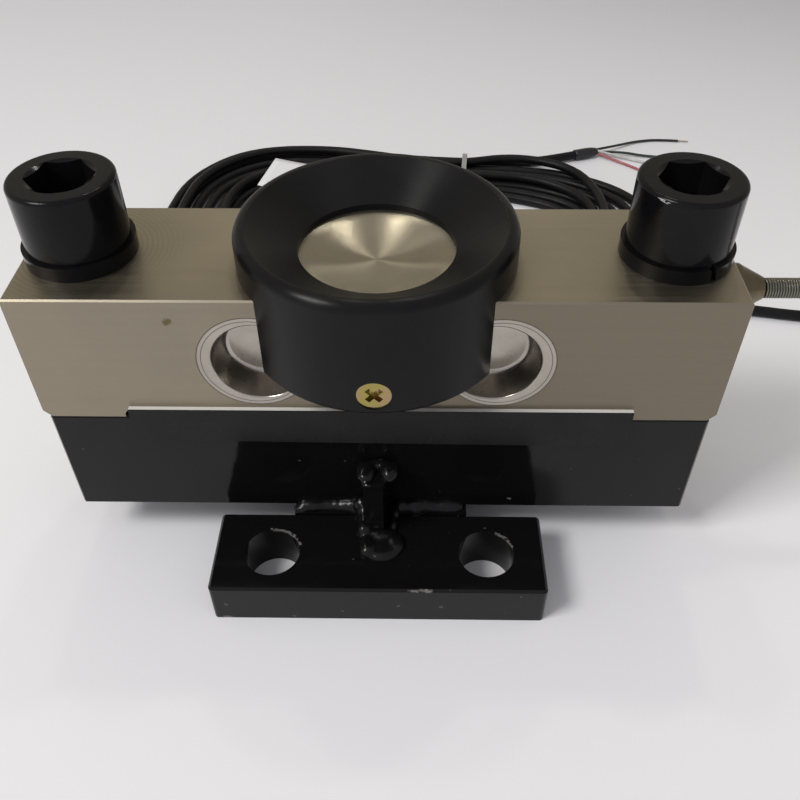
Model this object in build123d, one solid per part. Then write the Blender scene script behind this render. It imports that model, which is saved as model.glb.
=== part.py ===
from build123d import *
import os
from math import pi, radians, sqrt, tan

os.makedirs("parts", exist_ok=True)

# A double ended beam load cell on its base, in millimetres.
# +X runs along the beam towards the cable outlet, +Z is up, and the floor is z = 0 under the middle.

# Base: two foot bars, the web between them, the block and a rib on each side
foot_bar_length = 107.0
foot_bar_width = 30.5
foot_bar_thickness = 16.0
foot_reach = 58.5
foot_hole_d = 18.0
foot_hole_pitch_x = 69.5
foot_hole_pitch_y = 88.0
foot_corner_r = 1.5
foot_edge_break = 0.8
web_plate_width = 58.0
block_length = 203.5
block_width = 48.5
block_height = 42.0
block_edge_break = 0.8
tapped_hole_depth = 36.0
rib_thickness = 6.4
rib_depth = 12.4
rib_height = 22.0
rib_skew_deg = 9.0
rib_offset_x = 0.25

# Weld metal
seam_leg = 3.4
seam_start_x = 6.0
rib_bead_leg = 2.4
rib_bead_length = 9.0
toe_blob_length = 19.0
toe_blob_width = 14.0
toe_blob_height = 3.6
toe_blob_shift_x = -1.4
head_blob_width = 13.0
head_blob_depth = 9.0
head_blob_height = 14.0

# Beam
beam_length = 206.0
beam_width = 48.5
beam_height = 44.5
beam_end_chamfer = 2.4
beam_edge_break = 0.5
relief_length = 155.6
relief_depth = 2.75
relief_corner_r = 2.0
bolt_pitch = 173.0
bolt_hole_d = 21.0
seat_rim_d = 46.0
seat_depth = 2.6

# Gauge pockets and the drawn cups that seal them
pocket_offset_x = 34.2
gauge_web_thickness = 12.0
cup_flange_d = 33.0
cup_flange_shift = 1.5
cup_sheet = 0.8
cup_lip_d = 27.6
cup_lip_land = 1.0
cup_lip_r = 0.7
cup_floor_d = 22.4
cup_floor_r = 1.6
cup_depth = 9.5
cup_clearance = 0.1

# Strain gauges, board and wires inside the pockets
gauge_side = 9.0
gauge_tab_width = 3.0
gauge_tab_length = 2.0
gauge_thickness = 0.3
board_width = 5.5
board_height = 13.0
board_thickness = 1.2
board_offset_x = 9.4
passage_y = 13.6
passage_d = 4.4
core_d = 0.9
core_pitch = 0.95
core_lane_shift = 0.6
core_overhang = 6.0
link_hole_d = 4.0
link_hole_offset = 11.0
link_core_d = 2.0
link_overhang = 1.5

# Sleeve over the ball seat, and the countersunk screw in each of its lobes
sleeve_lobe = 16.75
sleeve_rise = 11.0
sleeve_drop = 27.0
sleeve_bore_gap = 0.1
sleeve_bore_height = 2.1
funnel_rim_width = 3.5
sleeve_rim_r = 2.9
funnel_rim_r = 0.8
sleeve_bottom_r = 2.0
sleeve_slot_clearance = 0.1
sleeve_screw_d = 5.0
sleeve_screw_engagement = 5.75
sleeve_screw_below_top = 19.6
screw_head_d = 9.8
screw_head_rim = 0.5
screw_head_sink = 0.5
screw_cross_width = 1.7
screw_cross_span = 5.6
screw_cross_depth = 1.8
screw_clearance = 0.1

# Socket head cap screws, M20 x 80, and their spring washers
cap_screw_d = 20.0
cap_screw_length = 80.0
cap_tip_chamfer = 2.0
cap_head_d = 30.0
cap_head_height = 20.0
cap_head_edge_r = 1.3
hex_across_flats = 17.0
hex_depth = 10.5
hex_lead_in = 0.6
hex_angles = {-1: 11.5, 1: -0.5}
spring_washer_d = 32.4
spring_washer_bore = 20.8
spring_washer_thickness = 4.5
washer_slit = 1.6
washer_slit_lean = 12.0
washer_slit_angles = {-1: 150.0, 1: -64.0}
thread_clearance = 0.1

# Name strip over the joint between beam and block
strip_length = 153.5
strip_centre_x = 0.75
strip_thickness = 1.6
strip_top_above_joint = 4.4
strip_left_height = 13.1
strip_right_height = 14.7

# Cable gland, its seal and the spring that guards the cable
cable_d = 4.8
gland_thread_d = 10.0
gland_thread_length = 8.0
gland_hex_flats = 15.0
gland_hex_length = 4.0
gland_spigot_d = 12.0
gland_spigot_length = 5.0
gland_nut_d = 16.0
gland_nut_length = 6.6
gland_nut_bore_gap = 0.1
gland_cone_length = 8.1
gland_nose_d = 7.4
gland_clearance = 0.1
seal_d = 8.4
guard_wire_d = 0.85
guard_length = 50.3

# Cable that lies free: out of the guard, down to the floor and back to a tied coil behind the beam
coil_centre = (8.0, 170.0)
coil_turn_deg = -4.5
coil_length = 261.0
coil_width = 171.0
coil_corner_r = 60.0
coil_band_ends = 45.0
coil_band_sides = 49.0
coil_hole_corner_r = 34.0
coil_height = 12.5
coil_edge_r = 4.0
tie_along_coil = 26.0
tie_width = 2.6
tie_sheet = 1.0
tag_length = 44.0
tag_width = 30.0
tag_thickness = 0.4
tag_corner = (-66.5, 226.0)
tag_turn_deg = -12.0
end_sleeve_d = 6.2
lead_d = 1.4
cable_route = [
    (193.0, 13.6, 80.25),
    (214.0, 17.0, 68.0),
    (229.0, 23.0, 50.0),
    (238.0, 34.0, 29.0),
    (243.0, 51.0, 12.0),
    (240.0, 73.0, 2.6),
    (226.0, 90.0, 2.6),
    (206.0, 97.0, 2.6),
    (184.0, 99.0, 2.6),
    (163.0, 103.5, 2.6),
    (141.0, 105.0, 2.6),
    (118.0, 101.5, 2.6),
]
tail_route = [(48.0, 249.0, 2.8), (66.0, 248.6, 2.7), (85.0, 246.0, 2.7), (104.0, 248.5, 3.1)]
end_sleeve_tip = (117.0, 253.0, 3.1)
lead_routes = {
    "lead_black": (
        0.75,
        0.75,
        [(132.0, 264.0, 2.2), (147.0, 272.0, 1.0), (163.0, 273.0, 0.8), (177.0, 270.0, 0.8)],
    ),
    "lead_green": (0.75, -0.75, [(131.0, 254.0, 2.4), (146.0, 251.0, 0.8), (161.0, 250.0, 0.8)]),
    "lead_white": (-0.75, 0.75, [(130.0, 250.0, 1.2), (144.0, 244.0, 0.8), (157.0, 236.0, 0.8)]),
    "lead_red": (-0.75, -0.75, [(127.0, 246.0, 1.0), (138.0, 237.0, 0.8), (147.0, 226.0, 0.8)]),
}

block_bottom = foot_bar_thickness
beam_bottom = block_bottom + block_height
beam_top = beam_bottom + beam_height
beam_middle = beam_bottom + beam_height / 2
block_face = block_width / 2
beam_face = beam_width / 2
beam_end = beam_length / 2
bolt_x = bolt_pitch / 2
pocket_r = cup_lip_d / 2 + cup_lip_land + cup_clearance
web_face = gauge_web_thickness / 2
web_plate_half_depth = foot_reach - foot_bar_width
sleeve_d = beam_width + 2 * sleeve_lobe
sleeve_bore_d = seat_rim_d + 2 * sleeve_bore_gap
funnel_top_r = sleeve_d / 2 - funnel_rim_width
screw_z = beam_top - sleeve_screw_below_top
screw_face = sleeve_d / 2 - screw_head_sink
screw_tip = beam_face - sleeve_screw_engagement
sleeve_screw_length = screw_face - screw_tip
cable_start_x = beam_end - gland_thread_length
cable_bore_r = cable_d / 2 + gland_clearance
nut_start_x = beam_end + gland_hex_length
nose_x = nut_start_x + gland_nut_length + gland_cone_length
guard_end_x = nose_x + guard_length


def z_cylinder(radius, height, x, y, z):
    """A cylinder that stands on z."""
    return Pos(x, y, z) * Cylinder(radius, height, align=(Align.CENTER, Align.CENTER, Align.MIN))


def x_cylinder(radius, x_start, x_end, y, z):
    """A cylinder along X between two stations."""
    return Pos((x_start + x_end) / 2, y, z) * Rot(0, 90, 0) * Cylinder(radius, x_end - x_start)


def y_cylinder(radius, y_start, y_end, x, z):
    """A cylinder along Y between two stations."""
    return Pos(x, (y_start + y_end) / 2, z) * Rot(90, 0, 0) * Cylinder(radius, y_end - y_start)


def standing_box(length, depth, height, y=0.0, z=0.0):
    """A box that stands on z, centred along the beam."""
    return Pos(0, y, z) * Box(length, depth, height, align=(Align.CENTER, Align.CENTER, Align.MIN))


def to_rear(shape):
    """The same piece half a turn round the middle of the load cell."""
    return Rot(0, 0, 180) * shape


def foot_bar():
    """Front foot bar: a flat bar with two anchor holes."""
    bar = standing_box(foot_bar_length, foot_bar_width, foot_bar_thickness, y=foot_bar_width / 2 - foot_reach)
    bar = fillet(bar.edges().filter_by(Axis.Z), foot_corner_r)
    bar = chamfer(bar.faces().sort_by(Axis.Z)[-1].edges(), foot_edge_break)
    for side in (-1, 1):
        x = side * foot_hole_pitch_x / 2
        bar -= z_cylinder(foot_hole_d / 2, foot_bar_thickness, x, -foot_hole_pitch_y / 2, 0)
    return bar


def web_plate():
    """The plate under the block that joins the two foot bars."""
    return standing_box(web_plate_width, 2 * web_plate_half_depth, foot_bar_thickness)


def base_block():
    """Solid bar with a blind tapped hole under each end of the beam."""
    block = standing_box(block_length, block_width, block_height, z=block_bottom)
    block = chamfer(block.edges(), block_edge_break)
    hole_r = cap_screw_d / 2 + thread_clearance
    floor_z = beam_bottom - tapped_hole_depth
    for side in (-1, 1):
        block -= z_cylinder(hole_r, tapped_hole_depth, side * bolt_x, 0, floor_z)
        drill_tip = Cone(0.4, hole_r, hole_r / 2, align=(Align.CENTER, Align.CENTER, Align.MAX))
        block -= Pos(side * bolt_x, 0, floor_z) * drill_tip
    return block


def rib_bar():
    """The rib as a whole bar, set a little askew, before the block cuts it off."""
    length = rib_depth + rib_thickness
    bar = Box(rib_thickness, length, rib_height, align=(Align.CENTER, Align.MIN, Align.MIN))
    place = Pos(rib_offset_x, -block_face, foot_bar_thickness) * Rot(0, 0, -rib_skew_deg)
    return place * Pos(0, -rib_depth, 0) * bar


def base_envelope():
    """The block and plates as plain boxes, to trim what is welded against them."""
    block = standing_box(block_length, block_width, 2 * block_height, z=0)
    return block + standing_box(foot_bar_length, 2 * foot_reach, foot_bar_thickness)


def rib():
    """Front rib: a short bar that stands on the foot bar and butts against the block."""
    return rib_bar() - base_envelope()


def seam_weld():
    """The two fillet beads between the block and the web, one each side of the rib."""
    reach = web_plate_width / 2 - seam_leg
    beads = []
    for side in (-1, 1):
        ends = sorted((side * seam_start_x, side * reach))
        bead = x_cylinder(seam_leg, ends[0], ends[1], -block_face, foot_bar_thickness)
        bead += Pos(side * reach, -block_face, foot_bar_thickness) * Sphere(seam_leg)
        beads.append(bead - base_envelope() - rib_bar())
    return Compound(children=beads)


def toe_weld():
    """The weld pool at the rib's foot, with a short bead up along its left side."""
    blob = scale(Sphere(0.5), by=(toe_blob_length, toe_blob_width, 2 * toe_blob_height))
    blob = Pos(rib_offset_x + toe_blob_shift_x, -block_face - rib_depth, foot_bar_thickness) * blob
    side = Pos(rib_offset_x, -block_face, foot_bar_thickness) * Rot(0, 0, -rib_skew_deg)
    bead_end = -rib_depth + rib_bead_length
    bead = side * y_cylinder(rib_bead_leg, -rib_depth, bead_end, -rib_thickness / 2, 0)
    return blob + bead - base_envelope() - rib_bar()


def head_weld():
    """The lump of weld over the rib's head, run on to the block's face."""
    blob = scale(Sphere(0.5), by=(head_blob_width, 2 * head_blob_depth, head_blob_height))
    blob = Pos(rib_offset_x, -block_face, foot_bar_thickness + rib_height) * blob
    return blob - base_envelope() - rib_bar()


def cup_flange(side, clearance):
    """Front flange disc, set off from its well towards the beam's end."""
    x = side * (pocket_offset_x + cup_flange_shift)
    return y_cylinder(cup_flange_d / 2 + clearance, -beam_face, cup_sheet - beam_face, x, beam_middle)


def pocket_cup(side):
    """Front cup: a drawn well behind a flange that lies flush with the beam's face."""
    floor = cup_floor_d / 2
    lip = cup_lip_d / 2
    land = lip + cup_lip_land
    back = cup_depth + cup_sheet
    inside = FilletPolyline(
        (0, cup_depth), (floor, cup_depth), (lip, 0), (land, 0), radius=[cup_floor_r, cup_lip_r]
    )
    outside = FilletPolyline(
        (land, cup_sheet), (floor + cup_sheet, back), (0, back), radius=cup_floor_r + cup_sheet
    )
    rim = Line((land, 0), (land, cup_sheet))
    middle = Line((0, back), (0, cup_depth))
    x = side * pocket_offset_x
    well = Pos(x, -beam_face, beam_middle) * revolve(make_face(inside + rim + outside + middle), axis=Axis.Y)
    hole = y_cylinder(land, -beam_face, cup_sheet - beam_face, x, beam_middle)
    return cup_flange(side, 0) - hole + well


def beam():
    """Plated steel beam: pockets, bolt holes, ball seat, wire passages and a relieved underside."""
    body = standing_box(beam_length, beam_width, beam_height, z=beam_bottom)
    body = chamfer(body.faces().sort_by(Axis.Z)[0].edges().filter_by(Axis.Y), beam_end_chamfer)
    body = chamfer(body.faces().sort_by(Axis.Z)[-1].edges(), beam_edge_break)
    relief_height = relief_depth + relief_corner_r
    relief = standing_box(relief_length, beam_width, relief_height, z=beam_bottom - relief_corner_r)
    body -= fillet(relief.faces().sort_by(Axis.Z)[-1].edges().filter_by(Axis.Y), relief_corner_r)
    for side in (-1, 1):
        x = side * pocket_offset_x
        link_x = side * (pocket_offset_x - link_hole_offset)
        body -= z_cylinder(bolt_hole_d / 2, beam_height, side * bolt_x, 0, beam_bottom)
        body -= y_cylinder(pocket_r, -beam_face, -web_face, x, beam_middle)
        body -= y_cylinder(pocket_r, web_face, beam_face, x, beam_middle)
        body -= cup_flange(side, cup_clearance)
        body -= to_rear(cup_flange(side, cup_clearance))
        body -= y_cylinder(link_hole_d / 2, -web_face, web_face, link_x, beam_middle)
    body -= x_cylinder(passage_d / 2, -pocket_offset_x, beam_end, passage_y, beam_middle)
    thread_r = gland_thread_d / 2 + thread_clearance
    body -= x_cylinder(thread_r, cable_start_x, beam_end, passage_y, beam_middle)
    screw_r = sleeve_screw_d / 2 + thread_clearance
    hole_end = screw_tip - screw_clearance
    body -= y_cylinder(screw_r, -beam_face, -hole_end, 0, screw_z)
    body -= y_cylinder(screw_r, hole_end, beam_face, 0, screw_z)
    seat_r = ((seat_rim_d / 2) ** 2 + seat_depth**2) / (2 * seat_depth)
    return body - Pos(0, 0, beam_top - seat_depth + seat_r) * Sphere(seat_r)


def strain_gauge(side):
    """Front foil gauge on the web, turned 45 degrees, with its solder tab."""
    foil = Box(gauge_side, gauge_thickness, gauge_side)
    tab_x = (gauge_side + gauge_tab_length) / 2
    tab = Pos(tab_x, 0, 0) * Box(gauge_tab_length, gauge_thickness, gauge_tab_width)
    middle_y = -web_face - gauge_thickness / 2
    return Pos(side * pocket_offset_x, middle_y, beam_middle) * Rot(0, 45, 0) * (foil + tab)


def bridge_board():
    """Terminal board, glued on the web beside the rear right gauge."""
    board = Box(board_width, board_thickness, board_height)
    return Pos(pocket_offset_x + board_offset_x, web_face + board_thickness / 2, beam_middle) * board


def core_bundle(x_start, x_end):
    """Four insulated cores in a row, in the wire passage."""
    cores = []
    for lane in (-1.5, -0.5, 0.5, 1.5):
        z = beam_middle + lane * core_pitch
        cores.append(x_cylinder(core_d / 2, x_start, x_end, passage_y - core_lane_shift, z))
    return Compound(children=cores)


def link_wires(side):
    """Sheathed wires through the web, from the front gauge to the rear pocket."""
    x = side * (pocket_offset_x - link_hole_offset)
    z = beam_middle - (link_hole_d - link_core_d) / 2 + cup_clearance
    reach = web_face + link_overhang
    return y_cylinder(link_core_d / 2, -reach, reach, x, z)


def countersunk_head(clearance, height):
    """The head's outline about +Z: a cone with a short cylindrical rim."""
    shank_r = sleeve_screw_d / 2 + clearance
    head_r = screw_head_d / 2 + clearance
    cone_height = head_r - shank_r
    cone = Cone(shank_r, head_r, cone_height, align=(Align.CENTER, Align.CENTER, Align.MIN))
    return cone + z_cylinder(head_r, height, 0, 0, cone_height)


def sleeve_screw():
    """Front countersunk screw with a cross recess, through the sleeve into the beam."""
    shank_length = sleeve_screw_length - (screw_head_d - sleeve_screw_d) / 2 - screw_head_rim
    screw = z_cylinder(sleeve_screw_d / 2, shank_length, 0, 0, 0)
    screw += Pos(0, 0, shank_length) * countersunk_head(0, screw_head_rim)
    arm = Box(screw_cross_span, screw_cross_width, 2 * screw_cross_depth)
    screw -= Pos(0, 0, sleeve_screw_length) * (Rot(0, 0, 45) * arm + Rot(0, 0, -45) * arm)
    return Pos(0, -screw_tip, screw_z) * Rot(90, 0, 0) * screw


def sleeve():
    """Turned ring with a funnel over the ball seat and a slot that straddles the beam."""
    height = sleeve_rise + sleeve_drop
    ring = z_cylinder(sleeve_d / 2, height, 0, 0, beam_top - sleeve_drop)
    ring = fillet(ring.edges().sort_by(Axis.Z)[-1], sleeve_rim_r)
    slot_width = beam_width + 2 * sleeve_slot_clearance
    ring -= standing_box(sleeve_d, slot_width, sleeve_drop, z=beam_top - sleeve_drop)
    bottom_arcs = ring.edges().group_by(Axis.Z)[0].filter_by(GeomType.CIRCLE)
    ring = fillet(bottom_arcs, sleeve_bottom_r)
    ring -= z_cylinder(sleeve_bore_d / 2, sleeve_rise, 0, 0, beam_top)
    funnel = Cone(
        sleeve_bore_d / 2,
        funnel_top_r,
        sleeve_rise - sleeve_bore_height,
        align=(Align.CENTER, Align.CENTER, Align.MIN),
    )
    ring -= Pos(0, 0, beam_top + sleeve_bore_height) * funnel
    top_circles = ring.edges().group_by(Axis.Z)[-1].filter_by(GeomType.CIRCLE)
    ring = fillet(top_circles.sort_by(SortBy.RADIUS)[0], funnel_rim_r)
    under_head = screw_face - screw_head_rim - (screw_head_d - sleeve_screw_d) / 2
    sink = Pos(0, -under_head, screw_z) * Rot(90, 0, 0) * countersunk_head(screw_clearance, sleeve_screw_d)
    hole = y_cylinder(sleeve_screw_d / 2 + screw_clearance, -under_head, -beam_face, 0, screw_z)
    ring -= sink + hole
    return ring - to_rear(sink + hole)


def cap_screw(side):
    """Socket head cap screw through the beam into the block."""
    seat_z = beam_top + spring_washer_thickness
    top_z = seat_z + cap_head_height
    head = z_cylinder(cap_head_d / 2, cap_head_height, 0, 0, seat_z)
    head = fillet(head.edges().sort_by(Axis.Z)[-1], cap_head_edge_r)
    socket = RegularPolygon(hex_across_flats / 2, 6, major_radius=False, rotation=hex_angles[side])
    head -= Pos(0, 0, top_z - hex_depth) * extrude(socket, amount=hex_depth)
    corner_r = hex_across_flats / sqrt(3)
    lead_in = Cone(
        corner_r - 2 * hex_lead_in, corner_r, hex_lead_in, align=(Align.CENTER, Align.CENTER, Align.MAX)
    )
    head -= Pos(0, 0, top_z) * lead_in
    shank = z_cylinder(cap_screw_d / 2, cap_screw_length, 0, 0, seat_z - cap_screw_length)
    shank = chamfer(shank.edges().sort_by(Axis.Z)[0], cap_tip_chamfer)
    return Pos(side * bolt_x, 0, 0) * (head + shank)


def spring_washer(side):
    """Spring lock washer, pressed flat, with its slanted split."""
    washer = z_cylinder(spring_washer_d / 2, spring_washer_thickness, 0, 0, beam_top)
    washer -= z_cylinder(spring_washer_bore / 2, spring_washer_thickness, 0, 0, beam_top)
    along_x = (Align.MIN, Align.CENTER, Align.CENTER)
    cut = Box(spring_washer_d, washer_slit, 3 * spring_washer_thickness, align=along_x)
    cut = Pos(0, 0, beam_top + spring_washer_thickness / 2) * Rot(washer_slit_lean, 0, 0) * cut
    return Pos(side * bolt_x, 0, 0) * (washer - Rot(0, 0, washer_slit_angles[side]) * cut)


def name_strip():
    """Thin strip on the front faces, over the joint, a little taller at its right end."""
    left = strip_centre_x - strip_length / 2
    right = strip_centre_x + strip_length / 2
    top = beam_bottom + strip_top_above_joint
    right_foot = top - strip_right_height
    left_foot = top - strip_left_height
    outline = Polyline((left, top), (right, top), (right, right_foot), (left, left_foot), close=True)
    front = Plane(origin=(0, -beam_face, 0), x_dir=(1, 0, 0), z_dir=(0, -1, 0))
    return extrude(front * make_face(outline), amount=strip_thickness)


def hex_along_x(flats, x_start, length):
    """A hexagonal bar along the cable's axis."""
    bar = extrude(RegularPolygon(flats / 2, 6, major_radius=False), amount=length)
    return Pos(x_start, passage_y, beam_middle) * Rot(0, 90, 0) * bar


def gland_body():
    """Gland body: a threaded stem in the beam, a hexagon and a spigot that holds the seal."""
    spigot_end = nut_start_x + gland_spigot_length
    body = x_cylinder(gland_thread_d / 2, cable_start_x, beam_end, passage_y, beam_middle)
    body += hex_along_x(gland_hex_flats, beam_end, gland_hex_length)
    body += x_cylinder(gland_spigot_d / 2, nut_start_x, spigot_end, passage_y, beam_middle)
    body -= x_cylinder(cable_bore_r, cable_start_x, spigot_end, passage_y, beam_middle)
    seal_r = seal_d / 2 + gland_clearance
    return body - x_cylinder(seal_r, nut_start_x, spigot_end, passage_y, beam_middle)


def gland_seal():
    """Rubber ring that the nut presses on the cable."""
    spigot_end = nut_start_x + gland_spigot_length
    ring = x_cylinder(seal_d / 2, nut_start_x, spigot_end, passage_y, beam_middle)
    return ring - x_cylinder(cable_bore_r, nut_start_x, spigot_end, passage_y, beam_middle)


def gland_nut():
    """Coned nut over the spigot, with the guard spring against its nose."""
    cone_x = nut_start_x + gland_nut_length
    outline = Polyline(
        (nut_start_x, 0),
        (nut_start_x, gland_nut_d / 2),
        (cone_x, gland_nut_d / 2),
        (nose_x, gland_nose_d / 2),
        (nose_x, 0),
        close=True,
    )
    nut = Pos(0, passage_y, beam_middle) * revolve(make_face(outline), axis=Axis.X)
    bore_end = nut_start_x + gland_spigot_length + gland_nut_bore_gap
    bore_r = gland_spigot_d / 2 + gland_clearance
    nut -= x_cylinder(bore_r, nut_start_x, bore_end, passage_y, beam_middle)
    return nut - x_cylinder(cable_bore_r, nut_start_x, nose_x, passage_y, beam_middle)


def spring_guard():
    """The close wound guard spring as a plain tube round the cable."""
    outer_r = cable_bore_r + guard_wire_d
    tube = x_cylinder(outer_r, nose_x, guard_end_x, passage_y, beam_middle)
    return tube - x_cylinder(cable_bore_r, nose_x, guard_end_x, passage_y, beam_middle)


def cable_entry():
    """The straight stretch of cable held in the gland and the guard."""
    return x_cylinder(cable_d / 2, cable_start_x, guard_end_x, passage_y, beam_middle)


def cord_tube(name, points, diameter):
    """A round tube along straight runs joined by tangent arcs."""
    knots = [Vector(*point) for point in points]
    runs = [after - before for before, after in zip(knots, knots[1:])]
    radii = []
    for before, after in zip(runs, runs[1:]):
        half_turn = radians(before.get_angle(after)) / 2
        radii.append(0.45 * min(before.length, after.length) / tan(half_turn))
    path = FilletPolyline(*knots, radius=radii)
    tube = sweep(Plane(origin=path @ 0, z_dir=path % 0) * Circle(diameter / 2), path=path)
    share = tube.volume / (pi * diameter**2 / 4 * path.length)
    print(name, "length", round(path.length, 1), "fill", round(share, 4))
    print("    radii", [round(radius, 1) for radius in radii])
    return tube


def coil_place():
    """Where the coil lies on the floor, turned a little."""
    return Pos(coil_centre[0], coil_centre[1], 0) * Rot(0, 0, coil_turn_deg)


def cable_tie():
    """The tie pulled round the coil's far side."""
    middle_y = (coil_width - coil_band_sides) / 2
    corner = (Align.CENTER, Align.CENTER, Align.MIN)
    loop = Box(tie_width, coil_band_sides + 2 * tie_sheet, coil_height + tie_sheet, align=corner)
    hollow = Box(tie_width, coil_band_sides, coil_height - tie_sheet, align=corner)
    loop -= Pos(0, 0, tie_sheet) * hollow
    return coil_place() * Pos(tie_along_coil, middle_y, 0) * loop


def cable_coil():
    """Outer shape of the tied coil: a flat ring with rounded ends."""
    hole_length = coil_length - 2 * coil_band_ends
    hole_width = coil_width - 2 * coil_band_sides
    outline = RectangleRounded(coil_length, coil_width, coil_corner_r)
    outline -= RectangleRounded(hole_length, hole_width, coil_hole_corner_r)
    ring = extrude(outline, amount=coil_height)
    ring = fillet(ring.faces().sort_by(Axis.Z)[-1].edges(), coil_edge_r)
    return coil_place() * ring - cable_tie()


def paper_tag():
    """Blank paper tag that lies on the coil."""
    card = Box(tag_length, tag_width, tag_thickness, align=(Align.MIN, Align.MAX, Align.MIN))
    return Pos(tag_corner[0], tag_corner[1], coil_height) * Rot(0, 0, tag_turn_deg) * card


def end_sleeve():
    """Shrink sleeve where the cable's jacket ends and its cores come out."""
    start = Vector(*tail_route[-1])
    axis = Vector(*end_sleeve_tip) - start
    plane = Plane(origin=start, z_dir=axis)
    return extrude(plane * Circle(end_sleeve_d / 2), amount=axis.length)


def lead(name):
    """One core beyond the shrink sleeve, on its own way to the floor."""
    across, up, points = lead_routes[name]
    axis = Vector(*end_sleeve_tip) - Vector(*tail_route[-1])
    sideways = Vector(0, 0, 1).cross(axis).normalized()
    start = Vector(*end_sleeve_tip) + sideways * across + Vector(0, 0, up)
    return cord_tube(name, [tuple(start)] + points, lead_d) - end_sleeve()


coil = cable_coil()
entry_point = (guard_end_x, passage_y, beam_middle)
parts = {
    "beam": beam(),
    "sleeve": sleeve(),
    "base_block": base_block(),
    "web_plate": web_plate(),
    "front_foot_bar": foot_bar(),
    "rear_foot_bar": to_rear(foot_bar()),
    "front_rib": rib(),
    "rear_rib": to_rear(rib()),
    "front_seam_weld": seam_weld(),
    "rear_seam_weld": to_rear(seam_weld()),
    "front_toe_weld": toe_weld(),
    "rear_toe_weld": to_rear(toe_weld()),
    "front_head_weld": head_weld(),
    "rear_head_weld": to_rear(head_weld()),
    "name_strip": name_strip(),
    "front_sleeve_screw": sleeve_screw(),
    "rear_sleeve_screw": to_rear(sleeve_screw()),
    "bridge_board": bridge_board(),
    "left_cores": core_bundle(core_overhang - pocket_offset_x, pocket_offset_x - core_overhang),
    "outlet_cores": core_bundle(pocket_offset_x + core_overhang, cable_start_x),
    "gland_body": gland_body(),
    "gland_seal": gland_seal(),
    "gland_nut": gland_nut(),
    "spring_guard": spring_guard(),
    "cable_entry": cable_entry(),
    "cable": cord_tube("cable", [entry_point] + cable_route, cable_d) - coil,
    "cable_coil": coil,
    "cable_tail": cord_tube("cable_tail", tail_route, cable_d) - coil - end_sleeve(),
    "cable_tie": cable_tie(),
    "paper_tag": paper_tag(),
    "end_sleeve": end_sleeve(),
}
for word, side in (("left", -1), ("right", 1)):
    parts[word + "_cap_screw"] = cap_screw(side)
    parts[word + "_spring_washer"] = spring_washer(side)
    parts["front_" + word + "_cup"] = pocket_cup(side)
    parts["rear_" + word + "_cup"] = to_rear(pocket_cup(-side))
    parts["front_" + word + "_gauge"] = strain_gauge(side)
    parts["rear_" + word + "_gauge"] = to_rear(strain_gauge(-side))
    parts[word + "_link_wires"] = link_wires(side)
for name in lead_routes:
    parts[name] = lead(name)

for name, shape in parts.items():
    export_step(shape, "parts/" + name + ".step")
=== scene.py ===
import bmesh
import bpy
from math import cos, exp, pi, radians, sin
from mathutils import Matrix, Vector, noise


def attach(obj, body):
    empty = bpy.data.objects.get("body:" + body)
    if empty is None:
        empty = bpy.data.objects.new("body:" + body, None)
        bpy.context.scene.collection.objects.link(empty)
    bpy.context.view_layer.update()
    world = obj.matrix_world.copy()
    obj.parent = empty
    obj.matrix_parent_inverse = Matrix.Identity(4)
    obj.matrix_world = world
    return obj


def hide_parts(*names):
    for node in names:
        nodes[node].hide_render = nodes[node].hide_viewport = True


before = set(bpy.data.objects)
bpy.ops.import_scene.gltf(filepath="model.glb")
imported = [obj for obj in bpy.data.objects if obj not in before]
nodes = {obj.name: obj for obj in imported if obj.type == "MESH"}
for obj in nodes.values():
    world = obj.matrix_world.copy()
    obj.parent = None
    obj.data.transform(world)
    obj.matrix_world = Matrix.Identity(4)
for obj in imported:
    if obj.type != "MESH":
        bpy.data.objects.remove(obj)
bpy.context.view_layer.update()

# Camera
# Stands a little right of the middle, above the front foot bar, and looks down on the beam's front and top.
camera_place = Vector((0.01065, -0.2107, 0.2438))
camera_yaw = radians(-1.176)
camera_dip = radians(43.662)
camera_roll = radians(-0.436)
flat_share = cos(camera_dip)
view_forward = Vector((sin(camera_yaw) * flat_share, cos(camera_yaw) * flat_share, -sin(camera_dip)))
level_right = Vector((cos(camera_yaw), -sin(camera_yaw), 0))
level_up = level_right.cross(view_forward)
view_right = level_right * cos(camera_roll) + level_up * sin(camera_roll)
view_up = level_up * cos(camera_roll) - level_right * sin(camera_roll)
camera_lens = bpy.data.cameras.new("bench_camera")
camera_lens.lens = 38.52
camera_lens.sensor_width = 36
camera_lens.clip_start = 0.01
camera = bpy.data.objects.new("bench_camera", camera_lens)
camera_turn = Matrix((view_right, view_up, -view_forward)).transposed().to_4x4()
camera.matrix_world = Matrix.Translation(camera_place) @ camera_turn
bpy.context.collection.objects.link(camera)
bpy.context.scene.camera = camera
bpy.context.scene.view_settings.view_transform = "Standard"

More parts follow.
